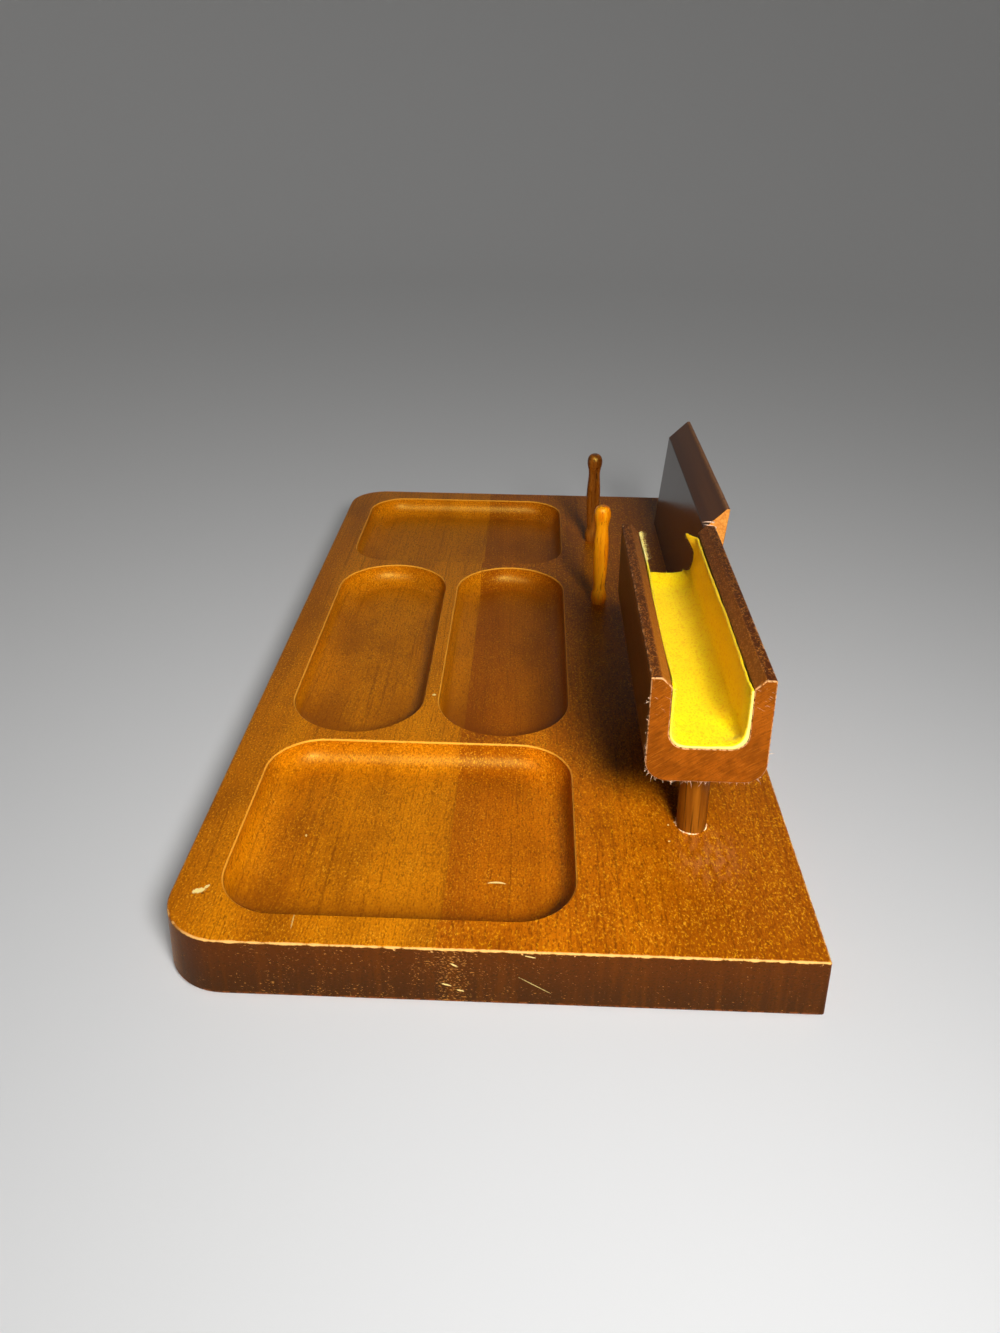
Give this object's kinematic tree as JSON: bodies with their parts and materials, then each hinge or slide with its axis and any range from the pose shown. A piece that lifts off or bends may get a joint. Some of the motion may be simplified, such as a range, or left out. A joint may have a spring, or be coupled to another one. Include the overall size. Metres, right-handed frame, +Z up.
{
  "type": "valet tray",
  "caption": "Wooden dresser valet tray with routed pockets for coins and keys, a felt-lined eyeglass cradle on posts, turned pegs and a leaning wallet rest.",
  "frame": {"origin": "centre of the board's footprint, on the surface that the felt pads stand on", "axes": "+X along the board towards the end with the eyeglass cradle, +Y towards the back edge with the wallet rest, +Z up"},
  "size_m": [0.364, 0.188, 0.0826],
  "materials": {
    "front_plank_wood": "satin varnish, honey brown",
    "back_plank_wood": "satin varnish, redder brown",
    "cradle_wood": "dark stain under satin varnish, worn edges",
    "lining_felt": "matt wool felt, yellow",
    "post_wood": "satin varnish",
    "peg_wood": "satin varnish, turned",
    "rest_wood": "dark stain under gloss varnish",
    "screw_steel": "bare steel",
    "pad_felt": "matt felt, dark brown"
  },
  "bodies": {
    "root": {"base_front_plank": "front_plank_wood", "base_back_plank": "back_plank_wood", "eyeglass_cradle": "cradle_wood", "cradle_felt_lining": "lining_felt", "cradle_post_right": "post_wood", "cradle_post_left": "post_wood", "peg_right": "peg_wood", "peg_left": "peg_wood", "wallet_rest": "rest_wood", "rest_screws": "screw_steel", "base_felt_pads": "pad_felt"}
  },
  "joints": []
}
